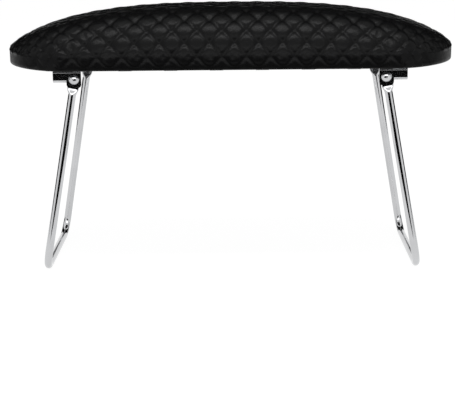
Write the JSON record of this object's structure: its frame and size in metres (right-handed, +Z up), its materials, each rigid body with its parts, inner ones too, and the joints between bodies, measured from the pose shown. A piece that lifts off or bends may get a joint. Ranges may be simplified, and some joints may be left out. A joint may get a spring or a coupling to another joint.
{
  "type": "manicure hand rest",
  "caption": "Manicure hand rest: crowned quilted pad on a board, on two folding chromed wire legs hinged on brackets under its ends.",
  "frame": {"origin": "on the table, under the middle of the pad, with the legs open", "axes": "+X along the pad to the right, +Y to the back, +Z up"},
  "size_m": [0.3496, 0.125, 0.2027],
  "materials": {
    "quilted_leather": "black quilted leatherette with a fine grain and a soft sheen",
    "foam": "open-cell polyurethane foam, hidden",
    "board": "raw fibreboard, hidden",
    "lining": "black non-woven dust cover",
    "staple_steel": "galvanised wire",
    "chrome": "bright chrome plate",
    "zinc_screw": "bright zinc plate",
    "washer_plastic": "natural nylon"
  },
  "bodies": {
    "pad": {"leather_cover": "quilted_leather", "foam_core": "foam", "base_board": "board", "dust_cover": "lining", "cover_staples": "staple_steel", "dust_cover_staples": "staple_steel", "bracket_left_front": "chrome", "bracket_left_rear": "chrome", "bracket_right_front": "chrome", "bracket_right_rear": "chrome", "screws_left_front": "zinc_screw", "screws_left_rear": "zinc_screw", "screws_right_front": "zinc_screw", "screws_right_rear": "zinc_screw", "hinge_pin_left_front": "chrome", "hinge_pin_left_rear": "chrome", "hinge_pin_right_front": "chrome", "hinge_pin_right_rear": "chrome", "friction_washer_left_front": "washer_plastic", "friction_washer_left_rear": "washer_plastic", "friction_washer_right_front": "washer_plastic", "friction_washer_right_rear": "washer_plastic"},
    "left_leg": {"leg_left": "chrome"},
    "right_leg": {"leg_right": "chrome"}
  },
  "joints": [
    {"name": "left_leg_fold", "type": "hinge", "parent": "pad", "child": "left_leg", "pos_m": [-0.11875, 0, 0.15126], "axis": [0, -1, 0], "range_deg": [0, 100]},
    {"name": "right_leg_fold", "type": "hinge", "parent": "pad", "child": "right_leg", "pos_m": [0.11875, 0, 0.15126], "axis": [0, 1, 0], "range_deg": [0, 95.5]}
  ]
}
